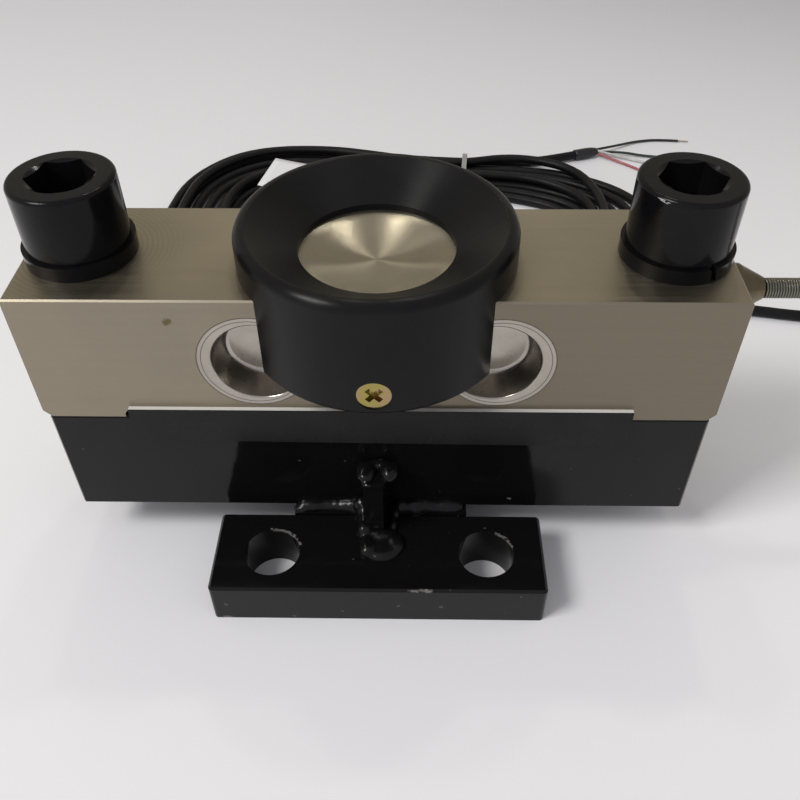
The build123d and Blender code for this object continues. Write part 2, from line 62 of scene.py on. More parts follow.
# Signal cable
# Black PVC jacket, 4.8 mm, over four cores. It leaves the guard spring, falls to the floor and runs behind
# the beam into a flat oval coil of nine turns, wound as delivered and tied once. The end leaves the coil at
# its rear.
cable_d = 0.0048
cable_exit = (0.172, 0.0136, 0.08025)
cable_route = [
    cable_exit,
    (0.193, 0.0136, 0.08025),
    (0.214, 0.017, 0.068),
    (0.229, 0.023, 0.050),
    (0.238, 0.034, 0.029),
    (0.243, 0.051, 0.012),
    (0.240, 0.073, 0.0026),
    (0.226, 0.090, 0.0026),
    (0.206, 0.097, 0.0026),
    (0.184, 0.099, 0.0026),
    (0.163, 0.1035, 0.0026),
    (0.141, 0.105, 0.0026),
    (0.118, 0.1015, 0.0026),
    (0.096, 0.0925, 0.0026),
]
tail_route = [
    (0.0137, 0.2427, 0.0026),
    (0.0396, 0.2405, 0.0026),
    (0.0640, 0.2396, 0.0026),
    (0.0770, 0.2410, 0.0026),
    (0.0900, 0.2440, 0.0028),
    (0.104, 0.2485, 0.0031),
]
coil_middle = Vector((0.008, 0.170))
coil_turn = Matrix.Rotation(radians(-4.5), 2)
coil_squareness = 4
floor_lie = 0.0026
upper_lie = 0.0074
coil_entry_reach = 0.128
points_per_quarter = 5
entry_skip = 3
tie_along = 0.026
left_pull = 0.25
left_spread = 0.073
right_spread = 0.020
coil_hole_edge = 0.0389
# Each turn's front width, left reach, rear width before the tie and after it, right reach, the share by
# which the tie draws it in, and the heights of its front, left, rear and right.
coil_turns = [
    ((0.0760, 0.1220, 0.0770, 0.0670, 0.1260, 0.10), (floor_lie, floor_lie, floor_lie, floor_lie)),
    ((0.0695, 0.1155, 0.0700, 0.0615, 0.1180, 0.10), (floor_lie, floor_lie, floor_lie, floor_lie)),
    ((0.0630, 0.1090, 0.0630, 0.0555, 0.1100, 0.10), (floor_lie, floor_lie, floor_lie, floor_lie)),
    ((0.0565, 0.1025, 0.0560, 0.0495, 0.1020, 0.10), (floor_lie, floor_lie, floor_lie, floor_lie)),
    ((0.0500, 0.0960, 0.0480, 0.0435, 0.0950, 0.10), (floor_lie, floor_lie, floor_lie, floor_lie)),
    ((0.0435, 0.0895, 0.0405, 0.0378, 0.0870, 0.10), (floor_lie, floor_lie, floor_lie, floor_lie)),
    ((0.0385, 0.0980, 0.0560, 0.0520, 0.0960, 0.10), (upper_lie, upper_lie, upper_lie, upper_lie)),
    ((0.0620, 0.1200, 0.0750, 0.0750, 0.1005, 0.36), (upper_lie, upper_lie, upper_lie, 0.0086)),
    ((0.0800, 0.1280, 0.0840, 0.0840, 0.1280, 0.10), (0.0064, floor_lie, floor_lie, floor_lie)),
]


def coil_point(angle, reach, half_width, pull, height):
    """A point of a turn at that polar angle, on a rounded rectangle drawn in towards the tie."""
    across = (abs(cos(angle)) / reach) ** coil_squareness
    along = (abs(sin(angle)) / half_width) ** coil_squareness
    radius = (across + along) ** (-1 / coil_squareness)
    x, y = radius * cos(angle), radius * sin(angle)
    if y > coil_hole_edge:
        past = x - tie_along
        hold = exp(-((past / right_spread) ** 2)) if past > 0 else exp(-((past / left_spread) ** 4))
        y -= (y - coil_hole_edge) * pull * hold
    flat = coil_middle + coil_turn @ Vector((x, y))
    return (flat.x, flat.y, height)


def coil_quarters():
    """Each quarter turn, clockwise from above: its reach, half-width, pull, and first and last height."""
    quarters = []
    reach, height = coil_entry_reach, floor_lie
    for (front, left, rear, drawn, right, pull), (front_z, left_z, rear_z, right_z) in coil_turns:
        quarters.append((reach, front, 0, height, front_z))
        quarters.append((left, front, 0, front_z, left_z))
        quarters.append((left, rear, left_pull, left_z, rear_z))
        quarters.append((right, drawn, pull, rear_z, right_z))
        reach, height = right, right_z
    return quarters[:-1]


def coil_points():
    """Points along the turns, from just inside the coil's front right corner to the middle of its rear."""
    quarters = coil_quarters()
    points = []
    for step in range(entry_skip, points_per_quarter * len(quarters)):
        reach, half_width, pull, start_z, end_z = quarters[step // points_per_quarter]
        share = step % points_per_quarter / points_per_quarter
        height = start_z + (end_z - start_z) * share * share * (3 - 2 * share)
        points.append(coil_point(-step * pi / 2 / points_per_quarter, reach, half_width, pull, height))
    return points


def cord_curve(name, points, diameter):
    """A cord as one smooth NURBS curve with a round section."""
    curve = bpy.data.curves.new(name, "CURVE")
    curve.dimensions = "3D"
    curve.bevel_depth = 1
    curve.bevel_resolution = 4
    curve.resolution_u = 6
    curve.use_fill_caps = True
    spline = curve.splines.new("NURBS")
    spline.points.add(len(points) - 1)
    for knot, point in zip(spline.points, points):
        knot.co = (*point, 1)
        knot.radius = diameter / 2
    spline.order_u = 3
    spline.use_endpoint_u = True
    cord = bpy.data.objects.new(name, curve)
    bpy.context.collection.objects.link(cord)
    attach(cord, "root")
    return cord


def shader_node(tree, kind, inputs=None, **settings):
    """Add a shader node; an input is a constant, or a socket to link from."""
    node = tree.nodes.new("ShaderNode" + kind)
    for key, value in settings.items():
        setattr(node, key, value)
    for key, value in (inputs or {}).items():
        if isinstance(value, bpy.types.NodeSocket):
            tree.links.new(value, node.inputs[key])
        else:
            node.inputs[key].default_value = value
    return node


def new_finish(name, colour, roughness, **values):
    """A material with plain values on its shader; returns the material, its tree and its shader."""
    material = bpy.data.materials.new(name)
    material.use_nodes = True
    tree = material.node_tree
    shader = tree.nodes["Principled BSDF"]
    shader.inputs["Base Color"].default_value = (*colour, 1)
    shader.inputs["Roughness"].default_value = roughness
    for key, value in values.items():
        shader.inputs[key.replace("_", " ")].default_value = value
    return material, tree, shader


def object_place(tree, stretch=(1, 1, 1), shift=(0, 0, 0), turn=(0, 0, 0)):
    """Object coordinates through a mapping."""
    coords = shader_node(tree, "TexCoord").outputs["Object"]
    inputs = {"Vector": coords, "Scale": stretch, "Location": shift, "Rotation": turn}
    return shader_node(tree, "Mapping", inputs).outputs["Vector"]


def noise_value(tree, place, scale, detail=3.0, roughness=0.5):
    """Noise from 0 to 1 at that scale."""
    inputs = {"Vector": place, "Scale": scale, "Detail": detail, "Roughness": roughness}
    return shader_node(tree, "TexNoise", inputs).outputs["Fac"]


def spread(tree, value, low, high, to_low=0.0, to_high=1.0):
    """Stretch a value's range from low to high on to another range."""
    inputs = {"Value": value, "From Min": low, "From Max": high, "To Min": to_low, "To Max": to_high}
    return shader_node(tree, "MapRange", inputs).outputs["Result"]


def blend_colours(tree, share, first, second):
    """The first colour where share is 0 and the second where it is 1."""
    mix = shader_node(tree, "Mix", data_type="RGBA")
    tree.links.new(share, mix.inputs[0])
    for index, colour in ((6, first), (7, second)):
        if isinstance(colour, bpy.types.NodeSocket):
            tree.links.new(colour, mix.inputs[index])
        else:
            mix.inputs[index].default_value = (*colour, 1)
    return mix.outputs[2]


def combine(tree, operation, first, second):
    """A Math node's result."""
    node = shader_node(tree, "Math", {0: first, 1: second}, operation=operation)
    return node.outputs["Value"]


def add_bump(tree, shader, height, strength, distance):
    """Drive the shader's normal by a height."""
    inputs = {"Height": height, "Strength": strength, "Distance": distance}
    bump = shader_node(tree, "Bump", inputs)
    tree.links.new(bump.outputs["Normal"], shader.inputs["Normal"])


def jacket_finish():
    """Black PVC with a dull sheen, dusty in places and unevenly worn."""
    material, tree, shader = new_finish(
        "cable_jacket", (0.008, 0.008, 0.009), 0.42, Specular_IOR_Level=0.18
    )
    place = object_place(tree)
    dust = spread(tree, noise_value(tree, place, 55, 4, 0.6), 0.52, 0.78)
    colour = blend_colours(tree, dust, (0.005, 0.005, 0.006), (0.013, 0.0125, 0.0125))
    tree.links.new(colour, shader.inputs["Base Color"])
    wear = spread(tree, noise_value(tree, place, 240), 0.3, 0.7, 0.36, 0.52)
    tree.links.new(wear, shader.inputs["Roughness"])
    add_bump(tree, shader, noise_value(tree, place, 1400, 2), 0.12, 0.0002)
    return material


cable = cord_curve("signal_cable", cable_route + coil_points() + tail_route, cable_d)
cable_jacket = jacket_finish()
cable.data.materials.append(cable_jacket)
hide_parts("cable", "cable_coil", "cable_tail")
nodes["cable_entry"].material_slots[0].material = cable_jacket

# Shrink sleeve and the four cores
# A black heat-shrink sleeve closes the jacket's end. The cores come out of it in black, green, white and
# red, each with its last few millimetres stripped and the copper strands twisted.
sleeve_tip = Vector((0.117, 0.253, 0.0031))
shrink_sleeve_d = 0.0062
core_d = 0.0014
bare_length = 0.006
bare_d = 0.0009
strand_rings = 8
core_spacing = 0.00075
core_seats = {"lead_black": (1, 1), "lead_green": (1, -1), "lead_white": (-1, 1), "lead_red": (-1, -1)}
core_routes = {
    "lead_black": [
        (0.130, 0.2615, 0.0022),
        (0.142, 0.2690, 0.0010),
        (0.156, 0.2722, 0.0008),
        (0.1685, 0.2706, 0.0008),
    ],
    "lead_green": [(0.131, 0.254, 0.0024), (0.146, 0.251, 0.0008), (0.161, 0.250, 0.0008)],
    "lead_white": [(0.130, 0.250, 0.0012), (0.144, 0.244, 0.0008), (0.157, 0.236, 0.0008)],
    "lead_red": [(0.127, 0.246, 0.0010), (0.138, 0.237, 0.0008), (0.147, 0.226, 0.0008)],
}
core_colours = {
    "lead_black": (0.012, 0.012, 0.013),
    "lead_green": (0.018, 0.034, 0.028),
    "lead_white": (0.62, 0.6, 0.58),
    "lead_red": (0.42, 0.11, 0.13),
}


def new_piece(name, bm, material, smooth=True):
    """Turn a bmesh into a piece of the load cell."""
    mesh = bpy.data.meshes.new(name)
    bm.to_mesh(mesh)
    bm.free()
    for face in mesh.polygons:
        face.use_smooth = smooth
    mesh.materials.append(material)
    piece = bpy.data.objects.new(name, mesh)
    bpy.context.collection.objects.link(piece)
    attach(piece, "root")
    return piece


def lay_along(bm, start, direction):
    """Turn a bmesh that was built along +Z so that it starts at a point and runs in a direction."""
    place = Matrix.Translation(start) @ direction.to_track_quat("Z", "Y").to_matrix().to_4x4()
    bmesh.ops.transform(bm, matrix=place, verts=bm.verts)


def revolved(outline, steps):
    """Spin an outline of (radius, height) pairs about Z; it starts and ends on the axis, or closes."""
    bm = bmesh.new()
    verts = [bm.verts.new((radius, 0, height)) for radius, height in outline]
    for first, second in zip(verts, verts[1:]):
        bm.edges.new((first, second))
    turn = {"cent": (0, 0, 0), "axis": (0, 0, 1), "angle": 2 * pi, "steps": steps, "use_merge": True}
    bmesh.ops.spin(bm, geom=bm.verts[:] + bm.edges[:], **turn)
    bmesh.ops.remove_doubles(bm, verts=bm.verts, dist=1e-7)
    bmesh.ops.recalc_face_normals(bm, faces=bm.faces)
    return bm


def shrink_finish():
    """Shrunk polyolefin: black, a little glossier than the jacket, with soft ripples."""
    material, tree, shader = new_finish("shrink_sleeve", (0.011, 0.011, 0.012), 0.34)
    place = object_place(tree)
    wear = spread(tree, noise_value(tree, place, 300), 0.3, 0.7, 0.28, 0.42)
    tree.links.new(wear, shader.inputs["Roughness"])
    add_bump(tree, shader, noise_value(tree, place, 420, 2), 0.35, 0.0004)
    return material


def core_finish(name, colour):
    """Thin PVC insulation with faint handling marks."""
    material, tree, shader = new_finish(name, colour, 0.4)
    place = object_place(tree)
    front_shade = tuple(0.75 * channel + 0.004 for channel in colour)
    rub = spread(tree, noise_value(tree, place, 260), 0.4, 0.65)
    tree.links.new(blend_colours(tree, rub, colour, front_shade), shader.inputs["Base Color"])
    tree.links.new(spread(tree, rub, 0, 1, 0.35, 0.5), shader.inputs["Roughness"])
    return material


def copper_finish():
    """Tinned copper strands, with painted shade in the grooves between them."""
    material, tree, shader = new_finish("bare_core", (0.62, 0.5, 0.42), 0.3, Metallic=1.0)
    inputs = {"Vector": object_place(tree, turn=(0, 0, 0.6)), "Scale": 900.0}
    strands = shader_node(tree, "TexWave", inputs).outputs["Fac"]
    add_bump(tree, shader, strands, 0.6, 0.0002)
    # Painted shade: the colour darkens where the wave is low, in the grooves between strands.
    colour = blend_colours(tree, strands, (0.4, 0.3, 0.24), (0.72, 0.6, 0.5))
    tree.links.new(colour, shader.inputs["Base Color"])
    return material


def shrink_sleeve():
    """A tube that hugs the jacket at its rim and necks in over the cores."""
    start = Vector(tail_route[-1])
    axis = sleeve_tip - start
    length = axis.length
    jacket_r = cable_d / 2 + 0.0002
    sleeve_r = shrink_sleeve_d / 2
    outline = [
        (0, -0.0006),
        (jacket_r, -0.0006),
        (jacket_r + 0.0004, -0.0004),
        (sleeve_r - 0.0001, 0.001),
        (sleeve_r, length * 0.35),
        (sleeve_r - 0.0002, length * 0.7),
        (sleeve_r - 0.0008, length * 0.93),
        (sleeve_r - 0.0012, length),
        (0, length - 0.0004),
    ]
    bm = revolved(outline, 28)
    for vert in bm.verts:
        vert.co.x *= 1 + 0.05 * noise.noise(vert.co * 300)
        vert.co.y *= 0.95 + 0.05 * noise.noise(vert.co * 340 + Vector((7, 0, 0)))
    lay_along(bm, start, axis)
    piece = new_piece("shrink_sleeve", bm, shrink_finish())
    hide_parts("end_sleeve")
    return piece


def core_end(name, tip, direction):
    """The stripped end of a core: twisted strands that thin out to their tip."""
    bm = bmesh.new()
    bmesh.ops.create_circle(bm, cap_ends=True, segments=8, radius=bare_d / 2)
    for ring in range(strand_rings):
        face = max(bm.faces, key=lambda f: f.calc_center_median().z)
        grown = bmesh.ops.extrude_face_region(bm, geom=[face])
        fresh = [item for item in grown["geom"] if isinstance(item, bmesh.types.BMVert)]
        bmesh.ops.delete(bm, geom=[face], context="FACES_ONLY")
        bmesh.ops.translate(bm, vec=(0, 0, bare_length / strand_rings), verts=fresh)
        bmesh.ops.rotate(bm, cent=(0, 0, 0), matrix=Matrix.Rotation(0.5, 3, "Z"), verts=fresh)
        thin = 1 - 0.1 * (ring + 1) / strand_rings
        bmesh.ops.scale(bm, vec=(thin, 1.02 * thin, 1), verts=fresh)
    bmesh.ops.recalc_face_normals(bm, faces=bm.faces)
    lay_along(bm, tip, direction)
    return new_piece(name, bm, bare_core)


end_piece = shrink_sleeve()
bare_core = copper_finish()
sleeve_axis = sleeve_tip - Vector(tail_route[-1])
sleeve_side = Vector((0, 0, 1)).cross(sleeve_axis).normalized()
for name, route in core_routes.items():
    across, up = core_seats[name]
    start = sleeve_tip + sleeve_side * (across * core_spacing) + Vector((0, 0, up * core_spacing))
    core = cord_curve(name.replace("lead", "core"), [tuple(start)] + route, core_d)
    slot_name = name.replace("lead", "core")
    core.data.materials.append(core_finish(slot_name, core_colours[name]))
    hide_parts(name)
    last_run = Vector(route[-1]) - Vector(route[-2])
    strands = core_end(slot_name + "_strands", Vector(route[-1]), last_run)

# Cable tie
# A thin nylon tie in its natural milky white, pulled round the rear of the coil, with its head in the
# coil's hole and its tail snipped.
tie_width = 0.0026
tie_sheet = 0.0010
tie_inner = 0.0348
tie_outer = 0.0762
tie_height = 0.0101
tie_step = 0.0672
tie_taper = 0.4
tie_corner_r = 0.0045
tie_head_size = (0.0044, 0.0032, 0.0046)
tie_head_lie = 0.0062
tie_head_edge = 0.0005


def nylon_finish():
    """Natural nylon: milky, soft gloss."""
    material, tree, shader = new_finish(
        "tie_nylon", (0.35, 0.35, 0.34), 0.38, Subsurface_Weight=0.15, Subsurface_Scale=0.002
    )
    place = object_place(tree)
    cloud = noise_value(tree, place, 180)
    colour = blend_colours(tree, cloud, (0.25, 0.25, 0.245), (0.33, 0.33, 0.32))
    tree.links.new(colour, shader.inputs["Base Color"])
    add_bump(tree, shader, noise_value(tree, place, 900), 0.1, 0.0001)
    return material


def cable_tie():
    """A band with rounded corners round the bundle, and its square head."""
    bm = bmesh.new()
    middle = (tie_inner + tie_outer) / 2
    half = (tie_outer - tie_inner) / 2
    made = bmesh.ops.create_cube(bm, size=1)["verts"]
    bmesh.ops.scale(bm, vec=(tie_width, 2 * half + tie_sheet, tie_height + tie_sheet / 2), verts=made)
    bmesh.ops.translate(bm, vec=(tie_along, middle, tie_height / 2 + tie_sheet / 4), verts=made)
    ends = [face for face in bm.faces if abs(face.normal.x) > 0.5]
    bmesh.ops.delete(bm, geom=ends, context="FACES_ONLY")
    corners = [edge for edge in bm.edges if len(edge.link_faces) == 2]
    bmesh.ops.bevel(
        bm, geom=corners, offset=tie_corner_r, segments=5, profile=0.5, affect="EDGES", material=-1
    )
    whole = bm.verts[:] + bm.edges[:] + bm.faces[:]
    bmesh.ops.bisect_plane(bm, geom=whole, plane_co=(0, tie_step, 0), plane_no=(0, 1, 0))
    for vert in bm.verts:
        if vert.co.y > tie_step:
            vert.co.z *= 1 - tie_taper * (vert.co.y - tie_step) / (tie_outer - tie_step)
    bmesh.ops.recalc_face_normals(bm, faces=bm.faces)
    bmesh.ops.solidify(bm, geom=bm.faces[:], thickness=tie_sheet * 0.8)
    head = bmesh.ops.create_cube(bm, size=1)["verts"]
    bmesh.ops.scale(bm, vec=tie_head_size, verts=head)
    bmesh.ops.translate(bm, vec=(tie_along, tie_inner - 0.0006, tie_head_lie), verts=head)
    head_edges = list({edge for vert in head for edge in vert.link_edges})
    bmesh.ops.bevel(
        bm, geom=head_edges, offset=tie_head_edge, segments=2, profile=0.5, affect="EDGES", material=-1
    )
    place = Matrix.Translation((coil_middle.x, coil_middle.y, 0)) @ coil_turn.to_3x3().to_4x4()
    bmesh.ops.transform(bm, matrix=place, verts=bm.verts)
    bmesh.ops.recalc_face_normals(bm, faces=bm.faces)
    piece = new_piece("cable_tie_band", bm, nylon_finish(), smooth=False)
    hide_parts("cable_tie")
    return piece


tie_piece = cable_tie()

# Paper tag
# A blank inspection tag of white card, tucked on to the coil. It lies over the turns with a slight curl.
tag_corner = (-0.0665, 0.226)
tag_length = 0.044
tag_width = 0.030
tag_lie = 0.0102
tag_lift = 0.0024
tag_sheet = 0.0003
tag_turn = radians(-12)


def card_finish():
    """White card with a faint fibre."""
    material, tree, shader = new_finish("tag_paper", (0.78, 0.78, 0.8), 0.75)
    place = object_place(tree)
    fibre = noise_value(tree, place, 700, 5, 0.6)
    colour = blend_colours(tree, fibre, (0.72, 0.72, 0.74), (0.82, 0.82, 0.84))
    tree.links.new(colour, shader.inputs["Base Color"])
    add_bump(tree, shader, fibre, 0.12, 0.0001)
    return material


def paper_tag():
    """The card as a gridded sheet that curls up at its left end."""
    bm = bmesh.new()
    bmesh.ops.create_grid(bm, x_segments=12, y_segments=8, size=0.5)
    bmesh.ops.scale(bm, vec=(tag_length, tag_width, 1), verts=bm.verts)
    bmesh.ops.translate(bm, vec=(tag_length / 2, -tag_width / 2, 0), verts=bm.verts)
    for vert in bm.verts:
        near = 1 - vert.co.x / tag_length
        vert.co.z = tag_lie + tag_lift * near * near
    bmesh.ops.solidify(bm, geom=bm.faces[:], thickness=tag_sheet)
    place = Matrix.Translation((*tag_corner, 0)) @ Matrix.Rotation(tag_turn, 4, "Z")
    bmesh.ops.transform(bm, matrix=place, verts=bm.verts)
    bmesh.ops.recalc_face_normals(bm, faces=bm.faces)
    piece = new_piece("blank_tag", bm, card_finish())
    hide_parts("paper_tag")
    return piece


tag_piece = paper_tag()

# Floor and light
# A white bench top. A soft lamp like a window makes the main shadow from the left, two small ceiling lamps
# behind draw the streaks in the turned faces, and the room is pale in front and dimmer behind.


def floor_finish():
    """Matt white laminate, with painted shade that greys it towards the back and most at its far right, and
    painted light at its near right.
    """
    material, tree, shader = new_finish("bench_top", (0.88, 0.865, 0.87), 0.6)
    axes = shader_node(tree, "SeparateXYZ", {"Vector": object_place(tree)}).outputs
    to_back = spread(tree, axes["Y"], 0.05, 0.5)
    to_side = spread(tree, axes["X"], -0.1, 0.4)
    # Painted light and shade: the near part lightens to the right, and the far part greys and darkens to
    # the right.
    near = blend_colours(tree, to_side, (0.855, 0.857, 0.882), (0.925, 0.925, 0.952))
    far = blend_colours(tree, to_side, (0.665, 0.666, 0.690), (0.525, 0.526, 0.547))
    tree.links.new(blend_colours(tree, to_back, near, far), shader.inputs["Base Color"])
    return material


def area_lamp(name, place, aim, size, power, colour):
    """A square lamp that looks at a point."""
    lamp = bpy.data.lights.new(name, "AREA")
    lamp.size = size
    lamp.energy = power
    lamp.color = colour
    holder = bpy.data.objects.new(name, lamp)
    way = Vector(aim) - Vector(place)
    holder.matrix_world = Matrix.Translation(place) @ way.to_track_quat("-Z", "Y").to_matrix().to_4x4()
    bpy.context.collection.objects.link(holder)


floor_bm = bmesh.new()
bmesh.ops.create_grid(floor_bm, x_segments=1, y_segments=1, size=3)
floor_mesh = bpy.data.meshes.new("bench_top")
floor_bm.to_mesh(floor_mesh)
floor_bm.free()
floor_mesh.materials.append(floor_finish())
bench_top = bpy.data.objects.new("bench_top", floor_mesh)
bpy.context.collection.objects.link(bench_top)
world = bpy.data.worlds.new("pale_room")
bpy.context.scene.world = world
world.use_nodes = True
room = world.node_tree
background = room.nodes["Background"]
room_way = shader_node(room, "TexCoord").outputs["Generated"]
room_axes = shader_node(room, "SeparateXYZ", {"Vector": room_way}).outputs
to_rear = spread(room, room_axes["Y"], -0.6, 0.8)
to_right = spread(room, room_axes["X"], -0.7, 0.8)
front_wall = blend_colours(room, to_right, (0.60, 0.60, 0.645), (0.475, 0.475, 0.515))
rear_wall = blend_colours(room, to_right, (0.43, 0.397, 0.33), (0.365, 0.338, 0.285))
room.links.new(blend_colours(room, to_rear, front_wall, rear_wall), background.inputs["Color"])
background.inputs["Strength"].default_value = 1.0
area_lamp("left_window", (-1.29, -0.70, 1.8), (0, 0, 0.05), 0.7, 28, (1.0, 0.98, 0.95))
area_lamp("left_ceiling_lamp", (-0.15, 0.75, 1.37), (0, 0, 0.1), 0.07, 0.75, (1.0, 0.97, 0.86))
area_lamp("right_ceiling_lamp", (0.14, 0.75, 1.38), (0, 0, 0.1), 0.07, 0.95, (1.0, 0.97, 0.86))

# Base: block, web, foot bars and ribs
# Mild steel bar, sawn, milled and welded, then painted gloss black in one coat. The block is tapped under
# each end of the beam, and each foot bar is drilled for two anchors. The paint is rubbed through in three
# small places, and painted highlights run along the rear rims of the front holes.
bare_marks_and_rim_highlights = [
    ((0.0098, -0.0585, 0.0161), (0.0166, -0.0585, 0.0158), 0.0009),
    ((0.0432, -0.0243, 0.0203), (0.0435, -0.0243, 0.0201), 0.0007),
    ((-0.0500, -0.0585, 0.0006), (-0.0480, -0.0585, 0.0005), 0.0006),
]
# Painted highlights: pale arcs on the rear rims of the front anchor holes.
rim_highlight_arcs = [(-0.03475, (98, 72, 46, 20)), (0.03475, (66, 40, 14))]
anchor_hole_y = -0.044
anchor_rim_r = 0.0093
anchor_rim_z = 0.0157
rim_highlight_width = 0.00055
for hole_x, turns in rim_highlight_arcs:
    rim = []
    for turn in turns:
        across, away = anchor_rim_r * cos(radians(turn)), anchor_rim_r * sin(radians(turn))
        rim.append((hole_x + across, anchor_hole_y + away, anchor_rim_z))
    bare_marks_and_rim_highlights += [(first, second, rim_highlight_width) for first, second in zip(rim, rim[1:])]


def stroke(tree, place, start, end, width):
    """1 on a thin line between two points, falling to 0 at its edges."""
    run = Vector(end) - Vector(start)
    offset = shader_node(tree, "VectorMath", {0: place, 1: start}, operation="SUBTRACT").outputs["Vector"]
    inputs = {0: offset, 1: tuple(run / run.length_squared)}
    along = shader_node(tree, "VectorMath", inputs, operation="DOT_PRODUCT").outputs["Value"]
    along = shader_node(tree, "Clamp", {"Value": along}).outputs["Result"]
    back = shader_node(tree, "VectorMath", {0: tuple(run), "Scale": along}, operation="SCALE")
    inputs = {0: offset, 1: back.outputs["Vector"]}
    gap = shader_node(tree, "VectorMath", inputs, operation="DISTANCE").outputs["Value"]
    return spread(tree, gap, width, width / 2)


def all_strokes(tree, place, marks):
    """1 on any of the marks, each given by its start, its end and its width."""
    share = stroke(tree, place, *marks[0])
    for mark in marks[1:]:
        share = combine(tree, "MAXIMUM", share, stroke(tree, place, *mark))
    return share


def frayed_place(tree, place):
    """A place with a small uneven shift, which frays the edge of a mark."""
    inputs = {"Vector": place, "Scale": 900.0, "Detail": 2.0}
    fray = shader_node(tree, "TexNoise", inputs).outputs["Color"]
    middle = shader_node(tree, "VectorMath", {0: fray, 1: (0.5, 0.5, 0.5)}, operation="SUBTRACT")
    inputs = {0: middle.outputs["Vector"], "Scale": 0.0016}
    shift = shader_node(tree, "VectorMath", inputs, operation="SCALE").outputs["Vector"]
    return shader_node(tree, "VectorMath", {0: place, 1: shift}, operation="ADD").outputs["Vector"]


def paint_finish(name, gloss, peel):
    """Gloss black enamel with orange peel, a few dust nibs, marks rubbed down to the primer, and painted
    highlights on the anchor holes' rims.
    """
    material, tree, shader = new_finish(name, (0.0045, 0.0045, 0.0048), gloss, Specular_IOR_Level=0.25)
    place = object_place(tree)
    nibs = spread(tree, noise_value(tree, place, 330, 2, 0.4), 0.745, 0.765)
    colour = blend_colours(tree, nibs, (0.0045, 0.0045, 0.0048), (0.055, 0.05, 0.048))
    # The pale colour marks both the rubbed spots and the painted highlights on the anchor holes' rims.
    rubbed = all_strokes(tree, frayed_place(tree, place), bare_marks_and_rim_highlights)
    tree.links.new(blend_colours(tree, rubbed, colour, (0.17, 0.16, 0.145)), shader.inputs["Base Color"])
    haze = spread(tree, noise_value(tree, place, 28, 4, 0.6), 0.35, 0.7, 0.7 * gloss, 1.7 * gloss)
    tree.links.new(haze, shader.inputs["Roughness"])
    add_bump(tree, shader, noise_value(tree, place, 230, 2, 0.5), peel, 0.0004)
    return material


base_paint = paint_finish("base_paint", 0.1, 0.1)
weld_paint = paint_finish("weld_paint", 0.2, 0.15)
for name in ("base_block", "web_plate", "front_foot_bar", "rear_foot_bar", "front_rib", "rear_rib"):
    nodes[name].material_slots[0].material = base_paint

# Weld metal
# Stick welds run by hand and painted over: a pool at the rib's foot with a bead up each side, a two-lobed
# lump over its head, and the seam between the block and the web. Spatter dots the plates beside them.
foot_top = 0.016
block_face_y = -0.02425
weld_grain = 0.00042
toe_blobs = [
    ((0.0004, -0.0405, 0.0160), (0.0078, 0.0072, 0.0025)),
    ((-0.0038, -0.0422, 0.0163), (0.0030, 0.0046, 0.0030)),
    ((0.0052, -0.0405, 0.0161), (0.0034, 0.0042, 0.0027)),
    ((0.0002, -0.0380, 0.0160), (0.0066, 0.0034, 0.0032)),
    ((-0.0050, -0.0352, 0.0168), (0.0028, 0.0036, 0.0034)),
    ((-0.0050, -0.0318, 0.0172), (0.0028, 0.0034, 0.0036)),
    ((-0.0053, -0.0288, 0.0176), (0.0031, 0.0032, 0.0040)),
    ((-0.0062, -0.0262, 0.0178), (0.0038, 0.0030, 0.0044)),
    ((0.0044, -0.0325, 0.0166), (0.0017, 0.0034, 0.0021)),
    ((0.0050, -0.0280, 0.0168), (0.0019, 0.0036, 0.0024)),
]
head_blobs = [
    ((-0.0042, -0.0288, 0.0382), (0.0033, 0.0046, 0.0026)),
    ((0.0032, -0.0286, 0.0384), (0.0031, 0.0045, 0.0027)),
    ((0.0000, -0.0256, 0.0378), (0.0056, 0.0022, 0.0026)),
    ((-0.0034, -0.0338, 0.0374), (0.0018, 0.0016, 0.0014)),
    ((0.0026, -0.0285, 0.0366), (0.0020, 0.0030, 0.0030)),
    ((-0.0034, -0.0270, 0.0352), (0.0016, 0.0022, 0.0034)),
]
seam_reach = (0.0066, 0.0262)
seam_pitch = 0.0012
spatter_count = 16
spatter_turn = 2.39996
weld_relax = 18
weld_ripple = 0.0004


def seam_blobs():
    """Overlapping ripples along both halves of the seam, fatter near the rib."""
    blobs = []
    count = round((seam_reach[1] - seam_reach[0]) / seam_pitch)
    for hand in (-1, 1):
        for step in range(count + 1):
            x = hand * (seam_reach[0] + step * seam_pitch)
            swell = 0.0033 + 0.0012 * noise.noise((x * 160, hand, 0.5)) + 0.0006 * (1 - step / count)
            blobs.append(((x, block_face_y, foot_top), (0.0026, swell, swell)))
    blobs.append(((-0.0268, -0.0256, 0.0156), (0.0028, 0.0024, 0.0025)))
    return blobs


def spatter_blobs():
    """Small beads thrown on to the foot bar and the block round the rib."""
    blobs = []
    for step in range(spatter_count):
        turn = step * spatter_turn
        reach = 0.010 + 0.0013 * step
        radius = 0.00045 + 0.0003 * abs(noise.noise((step * 1.7, 0.3, 2.1)))
        x, swing = reach * cos(turn), reach * sin(turn)
        if step % 2:
            blobs.append(((x, block_face_y, 0.036 + 0.4 * swing), (radius, radius, radius)))
        else:
            blobs.append(((x, -0.041 + 0.4 * swing, foot_top), (radius, radius, 0.8 * radius)))
    return blobs


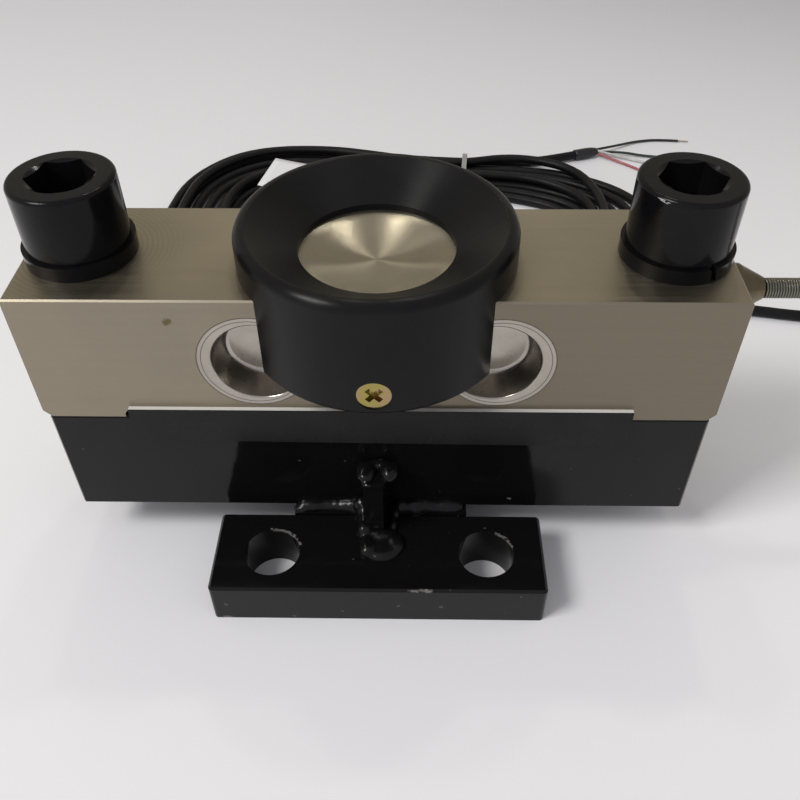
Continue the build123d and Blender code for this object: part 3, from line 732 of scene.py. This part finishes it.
def weld_metal(name, blobs, node_name, seed, turned):
    """Blobs run together under one skin, roughened, and cut off flat where they meet the bar below."""
    bm = bmesh.new()
    for middle, radii in blobs:
        ball = bmesh.ops.create_icosphere(bm, subdivisions=3, radius=1)["verts"]
        bmesh.ops.scale(bm, vec=radii, verts=ball)
        bmesh.ops.translate(bm, vec=middle, verts=ball)
    raw_mesh = bpy.data.meshes.new(name + "_raw")
    bm.to_mesh(raw_mesh)
    bm.free()
    raw = bpy.data.objects.new(name + "_raw", raw_mesh)
    bpy.context.collection.objects.link(raw)
    skin = raw.modifiers.new("skin", "REMESH")
    skin.mode = "VOXEL"
    skin.voxel_size = weld_grain
    relax = raw.modifiers.new("relax", "SMOOTH")
    relax.iterations = weld_relax
    graph = bpy.context.evaluated_depsgraph_get()
    bm = bmesh.new()
    bm.from_mesh(bpy.data.meshes.new_from_object(raw.evaluated_get(graph)))
    bpy.data.objects.remove(raw)
    bm.normal_update()
    for vert in bm.verts:
        ripple = noise.noise(vert.co * 210 + Vector((seed, 0, 0))) + 0.2 * noise.noise(vert.co * 600)
        vert.co += vert.normal * ripple * weld_ripple
        vert.co.z = max(vert.co.z, foot_top)
    if turned:
        bmesh.ops.rotate(bm, cent=(0, 0, 0), matrix=Matrix.Rotation(pi, 3, "Z"), verts=bm.verts)
    bmesh.ops.recalc_face_normals(bm, faces=bm.faces)
    piece = new_piece(name, bm, weld_paint)
    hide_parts(node_name)


for side, seed in (("front", 0), ("rear", 5)):
    toe = toe_blobs + spatter_blobs()
    weld_metal(side + "_toe_metal", toe, side + "_toe_weld", seed, side == "rear")
    weld_metal(side + "_head_metal", head_blobs, side + "_head_weld", seed + 1, side == "rear")
    weld_metal(side + "_seam_metal", seam_blobs(), side + "_seam_weld", seed + 2, side == "rear")

# Beam
# Alloy steel bar, ground all over and plated with dull nickel. The face round the left screw is milled, and
# the ball seat is turned.
beam_top = 0.1025
seat_rim_r = 0.023
seat_low = 0.0995
bolt_x = 0.0865
brown_stain = ((-0.0584, -0.02425, 0.0950), (-0.0575, -0.02425, 0.0956), 0.0012)


def nickel_finish():
    """Dull nickel over grinding lines, warm, with cloudy patches, small stains, and painted shade over its
    front face that deepens to the right.
    """
    material, tree, shader = new_finish("nickel_plate", (0.36, 0.33, 0.27), 0.38, Metallic=1.0)
    place = object_place(tree)
    cloud = spread(tree, noise_value(tree, place, 26, 5, 0.6), 0.3, 0.7)
    grain = noise_value(tree, object_place(tree, (12, 900, 900)), 1.0, 3, 0.6)
    colour = blend_colours(tree, cloud, (0.37, 0.325, 0.24), (0.32, 0.285, 0.225))
    axes = shader_node(tree, "SeparateXYZ", {"Vector": place}).outputs
    sides = shader_node(tree, "TexCoord").outputs["Normal"]
    # Painted shade: the front face is darkened, lightly at the left and fully from the middle to the right.
    facing = spread(tree, shader_node(tree, "SeparateXYZ", {"Vector": sides}).outputs["Y"], -0.5, -0.9)
    along = spread(tree, axes["X"], -0.05, 0.0, 0.3, 1.0)
    front_shade = combine(tree, "MULTIPLY", facing, along)
    colour = blend_colours(tree, front_shade, colour, (0.225, 0.196, 0.148))
    inputs = {"Vector": object_place(tree, shift=(bolt_x, 0, 0)), "Scale": 210.0}
    rings = shader_node(tree, "TexWave", inputs, wave_type="RINGS", rings_direction="Z").outputs["Fac"]
    inputs = {0: place, 1: (-bolt_x, 0, beam_top)}
    reach = shader_node(tree, "VectorMath", inputs, operation="DISTANCE").outputs["Value"]
    milled = combine(tree, "MULTIPLY", rings, spread(tree, reach, 0.034, 0.020, 0.0, 0.26))
    on_top = spread(tree, axes["Z"], beam_top - 0.0005, beam_top - 0.0002)
    milled = combine(tree, "MULTIPLY", milled, on_top)
    colour = blend_colours(tree, milled, colour, (0.19, 0.165, 0.12))
    stain = spread(tree, noise_value(tree, place, 95, 2, 0.4), 0.74, 0.82)
    stain = combine(tree, "MAXIMUM", stain, stroke(tree, frayed_place(tree, place), *brown_stain))
    colour = blend_colours(tree, stain, colour, (0.155, 0.125, 0.062))
    tree.links.new(colour, shader.inputs["Base Color"])
    tree.links.new(spread(tree, grain, 0.25, 0.75, 0.34, 0.46), shader.inputs["Roughness"])
    add_bump(tree, shader, grain, 0.12, 0.00005)
    return material


def turned_finish():
    """The seat's turned surface: fine rings round the middle stretch each highlight across them."""
    material, tree, shader = new_finish(
        "turned_seat", (0.40, 0.36, 0.29), 0.25, Metallic=1.0, Anisotropic=0.93, Anisotropic_Rotation=0.25
    )
    tangent = shader_node(tree, "Tangent", direction_type="RADIAL", axis="Z")
    tree.links.new(tangent.outputs["Tangent"], shader.inputs["Tangent"])
    place = object_place(tree)
    inputs = {"Vector": place, "Scale": 750.0}
    rings = shader_node(tree, "TexWave", inputs, wave_type="RINGS", rings_direction="Z").outputs["Fac"]
    add_bump(tree, shader, rings, 0.12, 0.00003)
    tint = spread(tree, noise_value(tree, place, 60), 0.35, 0.65)
    colour = blend_colours(tree, tint, (0.42, 0.38, 0.30), (0.37, 0.335, 0.27))
    tree.links.new(colour, shader.inputs["Base Color"])
    return material


def plated_beam():
    """The beam's merged mesh, with its seat as a finish of its own."""
    bm = bmesh.new()
    bm.from_mesh(nodes["beam"].data)
    bmesh.ops.remove_doubles(bm, verts=bm.verts, dist=1e-6)
    for face in bm.faces:
        middle = face.calc_center_median()
        in_seat = middle.xy.length < seat_rim_r and seat_low < middle.z < beam_top and face.normal.z > 0.9
        face.material_index = 1 if in_seat else 0
    piece = new_piece("plated_beam", bm, nickel_plate)
    piece.data.materials.append(turned_finish())
    piece.data.attributes.remove(piece.data.attributes["custom_normal"])
    piece.data.set_sharp_from_angle(angle=radians(25))
    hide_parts("beam")


nickel_plate = nickel_finish()
plated_beam()

# Cups in the gauge pockets
# Thin steel cups, deep drawn and polished by the press, with their flanges let in flush and welded round.
# One fine groove marks the flange's edge, and another the weld inside it.
groove_width = 0.00022


def drawn_finish():
    """Drawn bright steel, smoother than the ground faces and faintly clouded, with the two grooves."""
    material, tree, shader = new_finish("cup_steel", (0.45, 0.42, 0.37), 0.26, Metallic=1.0)
    place = object_place(tree)
    cloud = spread(tree, noise_value(tree, place, 70, 4, 0.6), 0.3, 0.7)
    colour = blend_colours(tree, cloud, (0.48, 0.445, 0.395), (0.40, 0.37, 0.33))
    corners = nodes["front_right_cup"].bound_box
    middle = (sum(corner[0] for corner in corners) / 8, 0, sum(corner[2] for corner in corners) / 8)
    flange_r = max(corner[0] for corner in corners) - middle[0]
    axes = shader_node(tree, "SeparateXYZ", {"Vector": place}).outputs
    hand = shader_node(tree, "Math", {0: axes["X"]}, operation="ABSOLUTE").outputs["Value"]
    spot = shader_node(tree, "CombineXYZ", {"X": hand, "Z": axes["Z"]}).outputs["Vector"]
    reach = shader_node(tree, "VectorMath", {0: spot, 1: middle}, operation="DISTANCE").outputs["Value"]
    for groove in (flange_r - 0.0001, flange_r - 0.0013):
        inner = spread(tree, reach, groove - groove_width, groove)
        outer = spread(tree, reach, groove + groove_width, groove)
        colour = blend_colours(tree, combine(tree, "MULTIPLY", inner, outer), colour, (0.10, 0.09, 0.075))
    tree.links.new(colour, shader.inputs["Base Color"])
    tree.links.new(spread(tree, cloud, 0, 1, 0.2, 0.32), shader.inputs["Roughness"])
    add_bump(tree, shader, noise_value(tree, place, 900, 2), 0.06, 0.00005)
    return material


cup_steel = drawn_finish()
for side in ("front", "rear"):
    for hand in ("left", "right"):
        nodes[side + "_" + hand + "_cup"].material_slots[0].material = cup_steel

# Gauges, board and wires inside the pockets
# Foil gauges on polyimide film, a green terminal board and thin insulated wires, all behind the cups.


def inner_finish(name, colour, second, scale, roughness):
    """A plain two-tone finish for what is hidden inside."""
    material, tree, shader = new_finish(name, colour, roughness)
    share = spread(tree, noise_value(tree, object_place(tree), scale), 0.45, 0.55)
    tree.links.new(blend_colours(tree, share, colour, second), shader.inputs["Base Color"])
    return material


gauge_film = inner_finish("gauge_film", (0.55, 0.28, 0.06), (0.45, 0.35, 0.2), 900, 0.35)
board_laminate = inner_finish("board_laminate", (0.02, 0.16, 0.06), (0.5, 0.38, 0.2), 500, 0.4)
wire_jacket = inner_finish("wire_jacket", (0.45, 0.035, 0.05), (0.6, 0.58, 0.55), 800, 0.4)
nodes["bridge_board"].material_slots[0].material = board_laminate
for name in ("left_cores", "outlet_cores", "left_link_wires", "right_link_wires"):
    nodes[name].material_slots[0].material = wire_jacket
for side in ("front", "rear"):
    for hand in ("left", "right"):
        nodes[side + "_" + hand + "_gauge"].material_slots[0].material = gauge_film

# Cap screws and spring washers
# M20 socket head cap screws of hardened steel, blacked and oiled, with a spring washer under each head.
# They pass through the beam into the block. The right one's rim is scratched.
rim_scratches = [
    ((0.0724, -0.0072, 0.1262), (0.0765, -0.0110, 0.1262), 0.00012),
    ((0.0752, -0.0108, 0.1260), (0.0800, -0.0131, 0.1260), 0.00012),
    ((0.0748, -0.0116, 0.1252), (0.0778, -0.0104, 0.1266), 0.00014),
    ((0.0758, -0.0106, 0.1262), (0.0772, -0.0126, 0.1250), 0.00014),
    ((0.0745, -0.0094, 0.1262), (0.0772, -0.0117, 0.1256), 0.00012),
]


def oxide_finish():
    """Black oxide with an oily gloss, scratched bright on the right screw's rim."""
    material, tree, shader = new_finish("black_oxide", (0.005, 0.005, 0.006), 0.24, Specular_IOR_Level=0.15)
    place = object_place(tree)
    haze = spread(tree, noise_value(tree, place, 60, 4, 0.6), 0.3, 0.7)
    colour = blend_colours(tree, haze, (0.003, 0.003, 0.0036), (0.007, 0.007, 0.008))
    rubbed = all_strokes(tree, place, rim_scratches)
    tree.links.new(blend_colours(tree, rubbed, colour, (0.60, 0.59, 0.58)), shader.inputs["Base Color"])
    tree.links.new(spread(tree, haze, 0, 1, 0.12, 0.19), shader.inputs["Roughness"])
    add_bump(tree, shader, noise_value(tree, place, 500, 2), 0.08, 0.0001)
    return material


black_oxide = oxide_finish()
for hand in ("left", "right"):
    nodes[hand + "_cap_screw"].material_slots[0].material = black_oxide
    nodes[hand + "_spring_washer"].material_slots[0].material = black_oxide

# Sleeve round the ball seat
# Turned steel ring, blacked to a satin finish. Its funnel guides the ball down to the seat, and its two
# lobes straddle the beam.


def satin_finish():
    """Satin black over fine turning."""
    sheen = {"Specular_IOR_Level": 0.17, "Anisotropic": 0.8, "Anisotropic_Rotation": 0.25}
    material, tree, shader = new_finish("sleeve_black", (0.005, 0.005, 0.0055), 0.34, **sheen)
    tangent = shader_node(tree, "Tangent", direction_type="RADIAL", axis="Z")
    tree.links.new(tangent.outputs["Tangent"], shader.inputs["Tangent"])
    place = object_place(tree)
    cloud = spread(tree, noise_value(tree, place, 40, 4, 0.6), 0.3, 0.7)
    colour = blend_colours(tree, cloud, (0.004, 0.004, 0.0045), (0.007, 0.007, 0.0075))
    tree.links.new(colour, shader.inputs["Base Color"])
    tree.links.new(spread(tree, cloud, 0, 1, 0.27, 0.33), shader.inputs["Roughness"])
    add_bump(tree, shader, noise_value(tree, place, 1500, 2), 0.08, 0.0001)
    return material


nodes["sleeve"].material_slots[0].material = satin_finish()

# Sleeve screws
# M5 countersunk screws with a cross recess, zinc plated and yellow passivated, one through each lobe.


def zinc_finish():
    """Yellow passivated zinc, shading into pink and green."""
    material, tree, shader = new_finish("yellow_zinc", (0.6, 0.46, 0.17), 0.26, Metallic=1.0)
    place = object_place(tree)
    share = spread(tree, noise_value(tree, place, 130, 2), 0.42, 0.6)
    hue = blend_colours(tree, share, (0.38, 0.325, 0.10), (0.44, 0.28, 0.20))
    tree.links.new(hue, shader.inputs["Base Color"])
    add_bump(tree, shader, noise_value(tree, place, 1600, 2), 0.1, 0.0001)
    return material


yellow_zinc = zinc_finish()
for side in ("front", "rear"):
    nodes[side + "_sleeve_screw"].material_slots[0].material = yellow_zinc

# Name strip
# Engraver's laminate, a black face over a pale core, left blank. It is glued over the joint between the
# beam and the block.
skin_depth = 0.0002


def laminate_finish():
    """Satin black skin; the cut edge shows the pale core behind it."""
    material, tree, shader = new_finish(
        "strip_black", (0.008, 0.008, 0.0085), 0.26, Specular_IOR_Level=0.2
    )
    place = object_place(tree)
    cloud = spread(tree, noise_value(tree, place, 90, 4, 0.6), 0.3, 0.7)
    skin = blend_colours(tree, cloud, (0.006, 0.006, 0.0065), (0.010, 0.010, 0.0105))
    face_y = min(corner[1] for corner in nodes["name_strip"].bound_box)
    depth = shader_node(tree, "SeparateXYZ", {"Vector": place}).outputs["Y"]
    core = spread(tree, depth, face_y + skin_depth - 0.00002, face_y + skin_depth + 0.00002)
    tree.links.new(blend_colours(tree, core, skin, (0.66, 0.65, 0.62)), shader.inputs["Base Color"])
    add_bump(tree, shader, noise_value(tree, place, 700, 2), 0.1, 0.0001)
    return material


nodes["name_strip"].material_slots[0].material = laminate_finish()

# Cable gland
# Nickel plated brass gland: a stem screwed into the beam's end, a hexagon, a rubber ring and a coned nut.
# The nut squeezes the ring on to the cable.


def gland_finish():
    """Bright nickel on turned brass."""
    material, tree, shader = new_finish("gland_plate", (0.17, 0.145, 0.095), 0.24, Metallic=1.0)
    place = object_place(tree)
    cloud = spread(tree, noise_value(tree, place, 120, 4, 0.6), 0.3, 0.7)
    colour = blend_colours(tree, cloud, (0.175, 0.145, 0.09), (0.125, 0.105, 0.062))
    tree.links.new(colour, shader.inputs["Base Color"])
    tree.links.new(spread(tree, cloud, 0, 1, 0.18, 0.32), shader.inputs["Roughness"])
    return material


gland_plate = gland_finish()
nodes["gland_body"].material_slots[0].material = gland_plate
nodes["gland_nut"].material_slots[0].material = gland_plate
seal_rubber = inner_finish("seal_rubber", (0.02, 0.02, 0.02), (0.03, 0.03, 0.03), 400, 0.6)
nodes["gland_seal"].material_slots[0].material = seal_rubber

# Guard spring
# Close wound stainless wire round the cable, pinched under the nut's nose, so that the cable can't kink
# there.
guard_start_x = 0.1217
guard_length = 0.0503
guard_wire_d = 0.00085
guard_mean_r = 0.0025 + guard_wire_d / 2
guard_axis = (0.0136, 0.08025)


def wire_finish():
    """Drawn stainless wire."""
    material, tree, shader = new_finish("spring_steel", (0.24, 0.235, 0.20), 0.3, Metallic=1.0)
    place = object_place(tree)
    wear = spread(tree, noise_value(tree, place, 400), 0.3, 0.7, 0.25, 0.4)
    tree.links.new(wear, shader.inputs["Roughness"])
    return material


def guard_spring():
    """A round wire section screwed along the cable."""
    bm = bmesh.new()
    made = bmesh.ops.create_circle(bm, cap_ends=False, segments=8, radius=guard_wire_d / 2)
    section = made["verts"]
    bmesh.ops.rotate(bm, cent=(0, 0, 0), matrix=Matrix.Rotation(pi / 2, 3, "X"), verts=section)
    bmesh.ops.translate(bm, vec=(guard_mean_r, 0, guard_wire_d / 2), verts=section)
    turns = int((guard_length - guard_wire_d) / guard_wire_d)
    steps = 20 * turns
    rise = (0, 0, (guard_length - guard_wire_d) / steps)
    winding = {"cent": (0, 0, 0), "axis": (0, 0, 1), "dvec": rise, "angle": 2 * pi * turns, "steps": steps}
    bmesh.ops.spin(bm, geom=bm.verts[:] + bm.edges[:], **winding)
    bmesh.ops.holes_fill(bm, edges=[edge for edge in bm.edges if edge.is_boundary], sides=8)
    bmesh.ops.recalc_face_normals(bm, faces=bm.faces)
    place = Matrix.Translation((guard_start_x, *guard_axis)) @ Matrix.Rotation(pi / 2, 4, "Y")
    bmesh.ops.transform(bm, matrix=place, verts=bm.verts)
    piece = new_piece("guard_spring", bm, wire_finish())
    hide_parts("spring_guard")
    return piece


guard_piece = guard_spring()
cable_pieces = [end_piece, tie_piece, tag_piece, guard_piece]
cable_pieces += [nodes[name] for name in ("cable_entry", "gland_nut", "gland_body", "gland_seal")]
